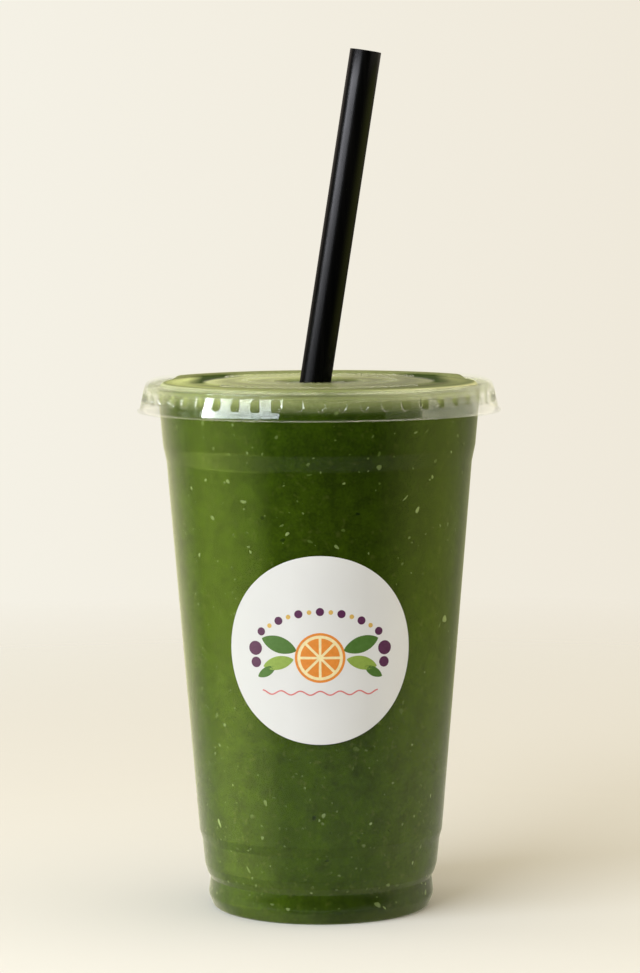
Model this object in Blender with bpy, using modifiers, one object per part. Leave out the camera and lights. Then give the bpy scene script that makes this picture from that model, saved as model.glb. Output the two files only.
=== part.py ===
"""A 24 oz cup of green smoothie: clear plastic cup, flat snap lid, wide black straw and round sticker.

The origin is on the cup's axis, in the plane that its foot stands on. +Z is up, the sticker faces -Y
and the straw leans towards +X. Lengths are in metres; MM turns the millimetres of the drawing into them.
"""

import math

import bmesh
import bpy
from mathutils import Matrix, Vector

MM = 0.001

# How round the turned pieces are
CUP_SIDES = 60
STRAW_SIDES = 24
STICKER_SIDES = 36
STICKER_RINGS = 5

# Room left between two pieces that touch
GAP = 0.3 * MM

# The cup: outer radii and the heights where they hold
CUP_WALL = 0.5 * MM
BASE_RECESS_HEIGHT = 2.6 * MM
BASE_RECESS_RADIUS = 25.0 * MM
FOOT_INNER_RADIUS = 27.4 * MM
FOOT_OUTER_RADIUS = 30.6 * MM
HEEL_RADIUS = 32.5 * MM
HEEL_HEIGHT = 4.0 * MM
WAIST_RADIUS = 32.05 * MM
WAIST_HEIGHT = 8.6 * MM
SHOULDER_RADIUS = 33.5 * MM
SHOULDER_HEIGHT = 12.4 * MM
LOW_STEP_HEIGHT = 19.6 * MM
LOW_STEP_RISE = 2.8 * MM
BODY_LOW_RADIUS = 35.05 * MM
BODY_TOP_HEIGHT = 129.4 * MM
BODY_TOP_RADIUS = 43.78 * MM
COLLAR_STEP_RISE = 2.9 * MM
COLLAR_LOW_RADIUS = 44.65 * MM
COLLAR_TOP_HEIGHT = 148.3 * MM
COLLAR_TOP_RADIUS = 46.05 * MM
RIM_CURL_RADIUS = 1.5 * MM
RIM_CENTRE_RADIUS = 47.5 * MM
RIM_CENTRE_HEIGHT = 149.8 * MM

# The lid: its top face, from the middle out to the skirt's lip
LID_WALL = 0.5 * MM
WELL_RADIUS = 12.0 * MM
WELL_HEIGHT = 151.3 * MM
PANEL_HEIGHT = 152.1 * MM
PANEL_RADIUS = 27.0 * MM
PANEL_FOOT_RADIUS = 32.0 * MM
MOAT_HEIGHT = 149.5 * MM
MOAT_INNER_RADIUS = 34.0 * MM
MOAT_OUTER_RADIUS = 43.2 * MM
PLUG_RADIUS = 44.6 * MM
CREST_HEIGHT = 152.2 * MM
CREST_INNER_RADIUS = 46.3 * MM
CREST_OUTER_RADIUS = 48.1 * MM
SKIRT_TOP_RADIUS = 49.9 * MM
SKIRT_TOP_HEIGHT = 150.2 * MM
SKIRT_LOW_RADIUS = 51.1 * MM
SKIRT_LOW_HEIGHT = 144.7 * MM
LIP_RADIUS = 52.0 * MM
LIP_HEIGHT = 143.8 * MM
SLIT_LENGTH = 22.0 * MM
SLIT_WIDTH = 0.6 * MM

# The straw, straight and cut square at both ends
STRAW_DIAMETER = 8.9 * MM
STRAW_WALL = 0.4 * MM
STRAW_LENGTH = 241.0 * MM
STRAW_LEAN = math.radians(8.9)
STRAW_TOP = Vector((13.7 * MM, 0.0, 245.3 * MM))

# The sticker, a disc wrapped on the cup's taper
STICKER_DIAMETER = 53.4 * MM
STICKER_THICKNESS = 0.2 * MM
STICKER_HEIGHT = 79.0 * MM

# How far a cutter runs past what it cuts
CUTTER_REACH = 4.0 * MM


def clear_scene():
    """Removes every object that the scene starts with."""
    for found in list(bpy.data.objects):
        bpy.data.objects.remove(found)


def new_collection(name):
    """A collection linked under the scene."""
    made = bpy.data.collections.new(name)
    bpy.context.scene.collection.children.link(made)
    return made


def surface(name, colour, roughness, alpha=1.0):
    """A plain plastic or liquid finish."""
    made = bpy.data.materials.new(name)
    made.use_nodes = True
    shader = made.node_tree.nodes["Principled BSDF"]
    shader.inputs["Base Color"].default_value = (*colour, 1.0)
    shader.inputs["Roughness"].default_value = roughness
    shader.inputs["Metallic"].default_value = 0.0
    shader.inputs["Alpha"].default_value = alpha
    return made


def arc(centre, radius, start, end, pieces):
    """Points round a centre in the radius-height plane, from one angle in degrees to another."""
    points = []
    for step in range(pieces + 1):
        angle = math.radians(start + (end - start) * step / pieces)
        points.append((centre[0] + radius * math.cos(angle), centre[1] + radius * math.sin(angle)))
    return points


def offset(path, distance):
    """The path moved sideways to its left by a distance, with mitred corners; ends on the axis stay on it."""
    normals = []
    for start, end in zip(path, path[1:]):
        along = Vector(end) - Vector(start)
        normals.append(Vector((-along.y, along.x)).normalized())
    moved = []
    for index, point in enumerate(path):
        before = normals[max(index - 1, 0)]
        after = normals[min(index, len(normals) - 1)]
        mitre = (before + after).normalized()
        shifted = Vector(point) + mitre * (distance / mitre.dot(before))
        moved.append((0.0 if point[0] == 0.0 else shifted.x, shifted.y))
    return moved


def radius_at(path, height):
    """The path's radius at a height, read along its straight runs."""
    for (low_radius, low), (high_radius, high) in zip(path, path[1:]):
        if low <= height <= high and high > low:
            return low_radius + (high_radius - low_radius) * (height - low) / (high - low)
    raise ValueError("the path never reaches this height")


def cup_skin():
    """The cup's outer face, from the middle of its base out and up to the end of its curled rim."""
    base = [
        (0.0, BASE_RECESS_HEIGHT),
        (BASE_RECESS_RADIUS, BASE_RECESS_HEIGHT),
        (FOOT_INNER_RADIUS, 0.0),
        (FOOT_OUTER_RADIUS, 0.0),
        (FOOT_OUTER_RADIUS + 1.3 * MM, 1.2 * MM),
        (HEEL_RADIUS, HEEL_HEIGHT),
        (WAIST_RADIUS, WAIST_HEIGHT),
        (WAIST_RADIUS + 0.55 * MM, WAIST_HEIGHT + 1.2 * MM),
        (SHOULDER_RADIUS, SHOULDER_HEIGHT),
    ]
    body = [
        (SHOULDER_RADIUS + 0.8 * MM, LOW_STEP_HEIGHT),
        (BODY_LOW_RADIUS, LOW_STEP_HEIGHT + LOW_STEP_RISE),
        (BODY_TOP_RADIUS, BODY_TOP_HEIGHT),
        (COLLAR_LOW_RADIUS, BODY_TOP_HEIGHT + COLLAR_STEP_RISE),
        (COLLAR_TOP_RADIUS, COLLAR_TOP_HEIGHT),
    ]
    rim = arc((RIM_CENTRE_RADIUS, RIM_CENTRE_HEIGHT), RIM_CURL_RADIUS - CUP_WALL, 170, -60, 8)
    return base + body + rim


def lid_skin():
    """The lid's top and outer face, from its middle out over the crest and down to the lip."""
    return [
        (0.0, WELL_HEIGHT),
        (WELL_RADIUS, WELL_HEIGHT),
        (WELL_RADIUS + 0.8 * MM, PANEL_HEIGHT),
        (PANEL_RADIUS, PANEL_HEIGHT),
        (PANEL_FOOT_RADIUS - 1.6 * MM, PANEL_HEIGHT - 0.7 * MM),
        (PANEL_FOOT_RADIUS, MOAT_HEIGHT + 0.9 * MM),
        (MOAT_INNER_RADIUS, MOAT_HEIGHT),
        (MOAT_OUTER_RADIUS, MOAT_HEIGHT),
        (PLUG_RADIUS, MOAT_HEIGHT + 0.8 * MM),
        (PLUG_RADIUS + 0.5 * MM, CREST_HEIGHT - 0.7 * MM),
        (CREST_INNER_RADIUS, CREST_HEIGHT),
        (CREST_OUTER_RADIUS, CREST_HEIGHT),
        (SKIRT_TOP_RADIUS - 0.5 * MM, CREST_HEIGHT - 0.8 * MM),
        (SKIRT_TOP_RADIUS, SKIRT_TOP_HEIGHT),
        (SKIRT_LOW_RADIUS, SKIRT_LOW_HEIGHT),
        (SKIRT_LOW_RADIUS + 0.3 * MM, LIP_HEIGHT + 0.2 * MM),
        (LIP_RADIUS, LIP_HEIGHT),
    ]


def turned(name, profile, sides, closed, finish, collection):
    """A profile of (radius, height) points turned about Z; its outer side runs from top to bottom."""
    count = len(profile)
    edges = [(index, index + 1) for index in range(count - 1)]
    if closed:
        edges.append((count - 1, 0))
    mesh = bpy.data.meshes.new(name)
    mesh.from_pydata([(radius, 0.0, height) for radius, height in profile], edges, [])
    made = bpy.data.objects.new(name, mesh)
    collection.objects.link(made)
    screw = made.modifiers.new("Turn", "SCREW")
    screw.axis = "Z"
    screw.angle = math.tau
    screw.steps = sides
    screw.render_steps = sides
    screw.use_merge_vertices = True
    screw.merge_threshold = 0.01 * MM
    screw.use_smooth_shade = True
    mesh.materials.append(finish)
    return made


def cut(target, cutter):
    """Takes the cutter's volume out of the target."""
    boolean = target.modifiers.new("Cut " + cutter.name, "BOOLEAN")
    boolean.operation = "DIFFERENCE"
    boolean.solver = "EXACT"
    boolean.object = cutter


def as_cutter(piece):
    """Leaves a helper out of renders and shows it as a wire."""
    piece.hide_render = True
    piece.display_type = "WIRE"
    return piece


def lean(piece):
    """Stands a piece that is turned about Z on the straw's foot, along the straw."""
    turn = Matrix.Rotation(STRAW_LEAN, 3, "Y")
    piece.location = STRAW_TOP - turn @ Vector((0.0, 0.0, STRAW_LENGTH))
    piece.rotation_euler = (0.0, STRAW_LEAN, 0.0)


def make_cup(parts, finish):
    """The clear cup, a thin shell with a pushed-up base, a stacking waist and a curled rim."""
    skin = cup_skin()
    lining = offset(skin, CUP_WALL)
    return turned("cup", lining + skin[::-1], CUP_SIDES, False, finish, parts)


def make_lid(parts, cutters, finish):
    """The clear flat lid, with the straw's hole and the crossed slits that it was pushed through."""
    skin = lid_skin()
    lining = offset(skin, -LID_WALL)
    lid = turned("lid", skin + lining[::-1], CUP_SIDES, False, finish, parts)

    hole_radius = STRAW_DIAMETER / 2 + GAP
    hole_profile = [(0.0, STRAW_LENGTH), (hole_radius, STRAW_LENGTH), (hole_radius, 0.0), (0.0, 0.0)]
    hole = as_cutter(turned("hole_cutter", hole_profile, STRAW_SIDES, False, finish, cutters))
    lean(hole)
    cut(lid, hole)

    straw_at_lid = STRAW_TOP.x - (STRAW_TOP.z - WELL_HEIGHT) * math.tan(STRAW_LEAN)
    for number, turn in enumerate((math.radians(45), math.radians(135))):
        bpy.ops.mesh.primitive_cube_add(size=1.0)
        slit = bpy.context.object
        slit.name = f"slit_cutter_{number + 1}"
        shape = Matrix.Diagonal((SLIT_LENGTH, SLIT_WIDTH, 2 * CUTTER_REACH, 1.0))
        slit.data.transform(Matrix.Rotation(turn, 4, "Z") @ shape)
        slit.location = (straw_at_lid, 0.0, WELL_HEIGHT)
        for owner in list(slit.users_collection):
            owner.objects.unlink(slit)
        cutters.objects.link(as_cutter(slit))
        cut(lid, slit)
    return lid


def make_straw(parts, finish):
    """The wide straw, an open tube."""
    outer = STRAW_DIAMETER / 2
    inner = outer - STRAW_WALL
    profile = [(outer, STRAW_LENGTH), (outer, 0.0), (inner, 0.0), (inner, STRAW_LENGTH)]
    straw = turned("straw", profile, STRAW_SIDES, True, finish, parts)
    lean(straw)
    return straw


def make_smoothie(parts, cutters, finish):
    """The drink, filled up to the lid's underside and cut round the straw's wall, with the column inside it."""
    clear_of_cup = offset(cup_skin(), CUP_WALL + GAP)
    clear_of_lid = offset(lid_skin(), -(LID_WALL + GAP))
    top = [point for point in clear_of_lid if point[0] <= MOAT_OUTER_RADIUS]
    side = [point for point in clear_of_cup if point[1] < BODY_TOP_HEIGHT + 2 * COLLAR_STEP_RISE]
    level = top[-1][1]
    brim = (radius_at(clear_of_cup, level), level)
    smoothie = turned("smoothie", top + [brim] + side[::-1], CUP_SIDES, False, finish, parts)

    outer = STRAW_DIAMETER / 2 + GAP
    inner = STRAW_DIAMETER / 2 - STRAW_WALL - GAP
    profile = [(outer, STRAW_LENGTH), (outer, -GAP), (inner, -GAP), (inner, STRAW_LENGTH)]
    sleeve = as_cutter(turned("sleeve_cutter", profile, STRAW_SIDES, True, finish, cutters))
    lean(sleeve)
    cut(smoothie, sleeve)
    return smoothie


def make_sticker(parts, finish):
    """The round sticker: a disc of rings whose width follows the cup round and whose height follows its taper."""
    taper = math.atan2(
        BODY_TOP_RADIUS - BODY_LOW_RADIUS, BODY_TOP_HEIGHT - LOW_STEP_HEIGHT - LOW_STEP_RISE
    )
    cup_radius = radius_at(cup_skin(), STICKER_HEIGHT)
    disc = bmesh.new()
    bmesh.ops.create_circle(disc, cap_ends=True, radius=STICKER_DIAMETER / 2, segments=STICKER_SIDES)
    face = disc.faces[:]
    for ring in range(STICKER_RINGS - 1):
        width = STICKER_DIAMETER / 2 / STICKER_RINGS
        bmesh.ops.inset_region(disc, faces=face, thickness=width, use_boundary=True, use_even_offset=True)
        face = [max(disc.faces, key=lambda found: len(found.verts))]
    bmesh.ops.poke(disc, faces=face)
    for vertex in disc.verts:
        across, up = vertex.co.x, vertex.co.y
        radius = cup_radius + up * math.sin(taper) + GAP
        angle = across / radius
        height = STICKER_HEIGHT + up * math.cos(taper)
        vertex.co = (radius * math.sin(angle), -radius * math.cos(angle), height)
    disc.normal_update()
    if sum(found.normal.y for found in disc.faces) > 0:
        bmesh.ops.reverse_faces(disc, faces=disc.faces[:])
    mesh = bpy.data.meshes.new("sticker")
    disc.to_mesh(mesh)
    disc.free()
    mesh.shade_smooth()
    mesh.materials.append(finish)
    sticker = bpy.data.objects.new("sticker", mesh)
    parts.objects.link(sticker)
    thickness = sticker.modifiers.new("Thickness", "SOLIDIFY")
    thickness.thickness = STICKER_THICKNESS
    thickness.offset = 1.0
    thickness.use_even_offset = True
    return sticker


def main():
    clear_scene()
    parts = new_collection("green_smoothie")
    cutters = new_collection("cutters")
    clear_plastic = surface("clear_plastic", (0.86, 0.90, 0.84), 0.08, alpha=0.3)
    black_plastic = surface("black_plastic", (0.012, 0.012, 0.012), 0.35)
    green_drink = surface("green_drink", (0.07, 0.15, 0.012), 0.45)
    white_paper = surface("white_paper", (0.82, 0.82, 0.82), 0.5)
    make_cup(parts, clear_plastic)
    make_lid(parts, cutters, clear_plastic)
    make_straw(parts, black_plastic)
    make_smoothie(parts, cutters, green_drink)
    make_sticker(parts, white_paper)


main()
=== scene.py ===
"""The looks of a green smoothie in a clear lidded cup with a black straw and a round sticker.

Every surface is a turned profile, a tube or a wrapped disc worked out with numpy as a function of two
parameters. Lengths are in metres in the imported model's frame: the origin is on the cup's axis at the foot,
+Z is up, the sticker faces -Y and the straw leans towards +X.
"""

import math

import bpy
import numpy as np
from bpy.props import FloatProperty, FloatVectorProperty, IntProperty, PointerProperty
from mathutils import Euler, Matrix, Vector


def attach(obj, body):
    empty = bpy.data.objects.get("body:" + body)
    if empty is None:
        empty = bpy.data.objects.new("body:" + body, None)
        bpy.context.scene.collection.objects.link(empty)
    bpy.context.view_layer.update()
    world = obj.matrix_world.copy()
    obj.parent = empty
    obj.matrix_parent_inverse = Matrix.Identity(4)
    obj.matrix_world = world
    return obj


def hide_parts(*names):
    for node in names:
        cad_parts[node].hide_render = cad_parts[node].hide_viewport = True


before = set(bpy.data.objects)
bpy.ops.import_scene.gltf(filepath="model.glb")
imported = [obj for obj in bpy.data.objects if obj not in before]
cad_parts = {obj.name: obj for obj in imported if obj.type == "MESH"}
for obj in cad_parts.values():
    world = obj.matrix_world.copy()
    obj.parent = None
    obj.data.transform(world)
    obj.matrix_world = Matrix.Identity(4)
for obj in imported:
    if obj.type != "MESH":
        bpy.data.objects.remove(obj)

bl_info = {
    "name": "Green Smoothie Cup",
    "version": (1, 0, 0),
    "blender": (4, 5, 0),
    "location": "View3D > Sidebar > Smoothie",
    "description": "Dresses a lidded cup of green smoothie with its straw and sticker",
    "category": "Add Mesh",
}

MM = 0.001
BODY = "root"


# Sizes and colours that a user would change


class CupSizes(bpy.types.PropertyGroup):
    """The cup's wall and its drink"""

    wall: FloatProperty(
        name="Wall", description="Thickness of the cup's wall", default=0.5 * MM, unit="LENGTH"
    )
    reach: FloatProperty(
        name="Drink reach",
        description="How far the drink reaches into the cup's wall",
        default=0.15 * MM,
        unit="LENGTH",
    )
    tint: FloatVectorProperty(
        name="Plastic tint", description="Colour of the clear plastic", default=(0.97, 0.98, 0.95),
        subtype="COLOR", size=3,
    )
    drink: FloatVectorProperty(
        name="Drink colour", description="Main colour of the smoothie", default=(0.0355, 0.0665, 0.0008),
        subtype="COLOR", size=3,
    )
    specks: IntProperty(name="Specks", description="Number of pale pulp specks", default=1000, min=0)
    flecks: IntProperty(name="Flecks", description="Number of dark leaf flecks", default=90, min=0)


class LidSizes(bpy.types.PropertyGroup):
    """The lid's wall and its snap dents"""

    wall: FloatProperty(
        name="Wall", description="Thickness of the lid's wall", default=0.45 * MM, unit="LENGTH"
    )
    tint: FloatVectorProperty(
        name="Plastic tint", description="Colour of the lid's plastic", default=(0.993, 0.997, 0.982),
        subtype="COLOR", size=3,
    )
    dents: IntProperty(name="Dents", description="Snap dents round the skirt", default=52, min=3)
    dent_depth: FloatProperty(
        name="Dent depth", description="How far a dent is pressed in", default=1.0 * MM, unit="LENGTH"
    )


class StrawSizes(bpy.types.PropertyGroup):
    """The straw"""

    diameter: FloatProperty(
        name="Diameter", description="Outer diameter of the straw", default=8.9 * MM, unit="LENGTH"
    )
    wall: FloatProperty(
        name="Wall", description="Thickness of the straw's wall", default=0.3 * MM, unit="LENGTH"
    )
    length: FloatProperty(
        name="Length", description="Length of the straw", default=241.0 * MM, unit="LENGTH"
    )
    lean: FloatProperty(
        name="Lean", description="Lean towards +X", default=math.radians(8.9), subtype="ANGLE"
    )


class StickerSizes(bpy.types.PropertyGroup):
    """The sticker and its print"""

    diameter: FloatProperty(
        name="Diameter", description="Diameter of the sticker", default=53.4 * MM, unit="LENGTH"
    )
    thickness: FloatProperty(
        name="Thickness", description="Thickness of the paper", default=0.09 * MM, unit="LENGTH"
    )
    height: FloatProperty(
        name="Height", description="Height of the sticker's middle", default=79.0 * MM, unit="LENGTH"
    )


# Profiles


def rounded(corners, pieces=8):
    """A path of (radius, height, fillet) corners with each corner replaced by an arc of its fillet radius.

    The arc's centre lies on the corner's bisector at fillet / sin(half angle), and the arc runs between its
    two points of contact, fillet / tan(half angle) from the corner along each side.
    """
    points = [np.array(corners[0][:2])]
    for before, corner, after in zip(corners, corners[1:], corners[2:]):
        here = np.array(corner[:2])
        back = np.array(before[:2]) - here
        ahead = np.array(after[:2]) - here
        back_length, ahead_length = np.linalg.norm(back), np.linalg.norm(ahead)
        back, ahead = back / back_length, ahead / ahead_length
        half = math.acos(np.clip(back @ ahead, -1.0, 1.0)) / 2
        reach = min(corner[2] / math.tan(half), 0.49 * back_length, 0.49 * ahead_length)
        if reach < 1e-7 or half > math.radians(89.9):
            points.append(here)
            continue
        radius = reach * math.tan(half)
        bisector = (back + ahead) / np.linalg.norm(back + ahead)
        centre = here + bisector * radius / math.sin(half)
        start, end = here + back * reach - centre, here + ahead * reach - centre
        sweep = math.atan2(start[0] * end[1] - start[1] * end[0], start @ end)
        quarter_turned = np.array([-start[1], start[0]])
        for turn in np.linspace(0.0, sweep, pieces + 1):
            points.append(centre + start * math.cos(turn) + quarter_turned * math.sin(turn))
    points.append(np.array(corners[-1][:2]))
    return np.array(points)


def spaced(path, step):
    """The same path with points added so that none of its runs is longer than a step."""
    runs = np.diff(path, axis=0)
    counts = np.maximum(1, np.ceil(np.linalg.norm(runs, axis=1) / step)).astype(int)
    pieces = [path[i] + runs[i] * (np.arange(n) / n)[:, None] for i, n in enumerate(counts)]
    return np.vstack([*pieces, path[-1:]])


def moved_left(path, distance):
    """A path moved to its left: each point goes along the mean of its two runs' left normals."""
    runs = np.diff(path, axis=0)
    normals = np.stack([-runs[:, 1], runs[:, 0]], axis=1)
    normals /= np.linalg.norm(normals, axis=1)[:, None]
    before = np.vstack([normals[:1], normals])
    after = np.vstack([normals, normals[-1:]])
    mitre = before + after
    mitre /= np.linalg.norm(mitre, axis=1)[:, None]
    moved = path + mitre * (distance / np.sum(mitre * before, axis=1))[:, None]
    moved[path[:, 0] == 0.0, 0] = 0.0
    return moved


def cup_corners():
    """The cup's outer face, from the middle of its base to its wall's top, as (radius, height, fillet)."""
    return [
        (0.0, 2.6 * MM, 0.0),
        (25.0 * MM, 2.6 * MM, 1.0 * MM),
        (27.4 * MM, 0.0, 0.6 * MM),
        (30.9 * MM, 0.0, 1.6 * MM),
        (32.5 * MM, 3.8 * MM, 3.0 * MM),
        (31.95 * MM, 8.7 * MM, 0.6 * MM),
        (32.9 * MM, 10.4 * MM, 1.2 * MM),
        (33.55 * MM, 12.6 * MM, 3.0 * MM),
        (34.3 * MM, 19.8 * MM, 3.0 * MM),
        (35.05 * MM, 22.4 * MM, 3.0 * MM),
        (43.72 * MM, 128.7 * MM, 9.0 * MM),
        (44.72 * MM, 133.4 * MM, 9.0 * MM),
        (46.05 * MM, 148.3 * MM, 1.5 * MM),
    ]


RIM_CENTRE = (47.5 * MM, 149.8 * MM)
RIM_RADIUS = 1.5 * MM


def cup_skin(wall):
    """The cup's whole outer face, with the rim curled round its centre from 170 to -80 degrees."""
    turn = np.radians(np.linspace(170, -80, 26))
    curl = np.array(RIM_CENTRE) + (RIM_RADIUS - wall) * np.stack([np.cos(turn), np.sin(turn)], axis=1)
    corners = cup_corners() + [(curl[0][0], curl[0][1], 0.0)]
    return np.vstack([rounded(corners), curl[1:]])


WELL_HEIGHT = 150.9 * MM


def lid_corners():
    """The lid's top and outer face from its middle to its lip, as (radius, height, fillet)."""
    return [
        (0.0, WELL_HEIGHT, 0.0),
        (12.0 * MM, WELL_HEIGHT, 0.5 * MM),
        (12.7 * MM, 151.85 * MM, 0.5 * MM),
        (28.0 * MM, 151.85 * MM, 4.0 * MM),
        (31.2 * MM, 151.75 * MM, 1.5 * MM),
        (32.2 * MM, 151.55 * MM, 0.8 * MM),
        (43.8 * MM, 151.55 * MM, 0.8 * MM),
        (44.9 * MM, 152.25 * MM, 0.5 * MM),
        (46.3 * MM, 152.45 * MM, 1.0 * MM),
        (48.1 * MM, 152.4 * MM, 1.2 * MM),
        (49.4 * MM, 151.5 * MM, 1.2 * MM),
        (50.13 * MM, 149.3 * MM, 1.0 * MM),
        (51.33 * MM, 143.7 * MM, 0.3 * MM),
        (52.05 * MM, 143.5 * MM, 0.0),
    ]


# Meshes


def between(upper, lower):
    """Faces between two rings of vertex numbers: one has as many as the other, a multiple, or just one."""
    if len(lower) == 1:
        return np.stack([upper, np.full_like(upper, lower[0]), np.roll(upper, -1)], axis=1).tolist()
    if len(upper) == 1:
        return np.stack([np.full_like(lower, upper[0]), lower, np.roll(lower, -1)], axis=1).tolist()
    if len(upper) == len(lower):
        return np.stack([upper, lower, np.roll(lower, -1), np.roll(upper, -1)], axis=1).tolist()
    if len(upper) > len(lower):
        return [face[::-1] for face in between(lower, upper)]
    share = len(lower) // len(upper)
    fine = lower.reshape(len(upper), share)
    ends = np.column_stack([fine, np.roll(lower, -share).reshape(len(upper), share)[:, :1]])
    after = np.roll(upper, -1)
    half = share // 2
    faces = [np.stack([upper, ends[:, half], after], axis=1)]
    for step in range(share):
        apex = upper if step < half else after
        faces.append(np.stack([apex, ends[:, step], ends[:, step + 1]], axis=1))
    return np.concatenate(faces).tolist()


def rings_faces(rings, closed=False):
    """Vertices and faces through rings of points, each of one point or of many in even steps round the axis.

    Faces turn outwards where the rings of an outer side run from top to bottom, anticlockwise from above.
    With closed, the last ring joins the first, as round a tube's wall.
    """
    counts = [len(ring) for ring in rings]
    numbers = np.split(np.arange(sum(counts)), np.cumsum(counts)[:-1])
    pairs = list(zip(numbers, numbers[1:]))
    if closed:
        pairs.append((numbers[-1], numbers[0]))
    faces = []
    for upper, lower in pairs:
        faces += between(upper, lower)
    return np.vstack(rings), faces


def rings_mesh(name, rings, closed=False):
    """The object of rings_faces."""
    return mesh_of(name, *rings_faces(rings, closed))


def mesh_of(name, vertices, faces):
    """A smooth-shaded object from arrays of vertices and faces."""
    mesh = bpy.data.meshes.new(name)
    mesh.from_pydata(np.asarray(vertices).tolist(), [], faces)
    mesh.validate()
    mesh.update()
    mesh.shade_smooth()
    made = bpy.data.objects.new(name, mesh)
    bpy.context.scene.collection.objects.link(made)
    return made


def turned(profile, columns):
    """Rings of a profile (radius r, height z) turned about Z: (r cos a, r sin a, z) for each angle a.

    columns is one number, or one for each point of the profile; a point on the axis gives a single vertex.
    """
    rings = []
    for (radius, height), count in zip(profile, np.broadcast_to(columns, len(profile))):
        count = 1 if radius < 1e-9 else int(count)
        angle = np.linspace(0.0, math.tau, count, endpoint=False)
        ring = [radius * np.cos(angle), radius * np.sin(angle), np.full(count, height)]
        rings.append(np.stack(ring, axis=1))
    return rings


def joined(parts):
    """Vertices and faces of several (vertices, faces) pairs as one pair."""
    vertices, faces, base = [], [], 0
    for part_vertices, part_faces in parts:
        vertices.append(part_vertices)
        faces += [[corner + base for corner in face] for face in part_faces]
        base += len(part_vertices)
    return np.vstack(vertices), faces


def outward(vertices, faces):
    """The same surface with its faces turned so that the volume they enclose is positive."""
    volume = 0.0
    for face in faces:
        for second, third in zip(face[1:], face[2:]):
            volume += vertices[face[0]] @ np.cross(vertices[second], vertices[third])
    if volume < 0:
        faces = [face[::-1] for face in faces]
    return vertices, faces


def settle(piece, material, stands_for=()):
    """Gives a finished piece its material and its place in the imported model."""
    piece.data.materials.append(material)
    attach(piece, BODY)
    if stands_for:
        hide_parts(*stands_for)
    return piece


# Materials


class Shading:
    """The node tree of a material or a world, with the kinds of node that this model is shaded with.

    A value is a number or another node's output, and a colour is a plain (r, g, b) or an output.
    """

    def __init__(self, owner):
        owner.use_nodes = True
        self.nodes = owner.node_tree.nodes
        self.links = owner.node_tree.links
        self.nodes.clear()

    def put(self, socket, value):
        """Gives an input its value or colour."""
        if isinstance(value, bpy.types.NodeSocket):
            self.links.new(value, socket)
        elif socket.type == "RGBA":
            socket.default_value = (*value, 1.0)
        else:
            socket.default_value = value

    def add(self, kind, inputs=None):
        """A new node with its inputs set, each by its name or number."""
        node = self.nodes.new("ShaderNode" + kind)
        for key, value in (inputs or {}).items():
            self.put(node.inputs[key], value)
        return node

    def finish(self, shader, output="OutputMaterial"):
        """Ends the tree with a shader as its surface."""
        self.add(output, {"Surface": shader.outputs[0]})

    def place(self):
        """The object's own coordinates."""
        return self.add("TexCoord").outputs["Object"]

    def axes(self):
        """The object's own X, Y and Z."""
        return tuple(self.add("SeparateXYZ", {"Vector": self.place()}).outputs)

    def vectors(self, operation, first, second=(0.0, 0.0, 0.0)):
        """The node of an operation on two vectors."""
        node = self.add("VectorMath", {0: first, 1: second})
        node.operation = operation
        return node

    def radius(self):
        """Distance from the object's Z axis."""
        flat = self.vectors("MULTIPLY", self.place(), (1.0, 1.0, 0.0))
        return self.vectors("LENGTH", flat.outputs["Vector"]).outputs["Value"]

    def noise(self, scale, detail=3.0, roughness=0.55, stretch=(1.0, 1.0, 1.0)):
        """Noise on the object's own coordinates, in cells per metre."""
        place = self.add("Mapping", {"Vector": self.place(), "Scale": stretch})
        inputs = {"Scale": scale, "Detail": detail, "Roughness": roughness}
        return self.add("TexNoise", {"Vector": place.outputs["Vector"], **inputs}).outputs["Fac"]

    def maths(self, operation, first, second=0.0):
        """A sum, product or other operation of two values."""
        node = self.add("Math", {0: first, 1: second})
        node.operation = operation
        return node.outputs["Value"]

    def product(self, first, *others):
        """Values multiplied together."""
        for other in others:
            first = self.maths("MULTIPLY", first, other)
        return first

    def remapped(self, value, from_low, from_high, to_low=0.0, to_high=1.0):
        """A value mapped from one range to another and clamped."""
        inputs = {"From Min": from_low, "From Max": from_high, "To Min": to_low, "To Max": to_high}
        return self.add("MapRange", {"Value": value, **inputs}).outputs["Result"]

    def contrast(self, noise, to_low=0.0, to_high=1.0):
        """The middle part of a noise, mapped to a range."""
        return self.remapped(noise, 0.3, 0.7, to_low, to_high)

    def stepped(self, along, base, steps):
        """A value plus each step's amount, which comes in as along runs from the step's start to its end."""
        for start, end, amount in steps:
            base = self.maths("ADD", base, self.remapped(along, start, end, 0.0, amount))
        return base

    def blended(self, share, low, high, blend="MIX"):
        """Two colours mixed by a share."""
        mix = self.add("Mix", {0: share})
        mix.data_type = "RGBA"
        mix.blend_type = blend
        first, second = (found for found in mix.inputs if found.type == "RGBA")
        self.put(first, low)
        self.put(second, high)
        return next(found for found in mix.outputs if found.type == "RGBA")

    def times(self, colour, factor):
        """A colour multiplied by another, or by a value."""
        return self.blended(1.0, colour, factor, "MULTIPLY")

    def mixed(self, share, first, second):
        """The node of two shaders mixed by a share."""
        return self.add("MixShader", {0: share, 1: first.outputs[0], 2: second.outputs[0]})

    def bumped(self, height, strength, depth):
        """The normal of a surface with a height's pattern in it."""
        bump = self.add("Bump", {"Strength": strength, "Distance": depth, "Height": height})
        return bump.outputs["Normal"]


def new_material(name):
    """An empty material and its shading."""
    made = bpy.data.materials.new(name)
    return made, Shading(made)


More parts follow.
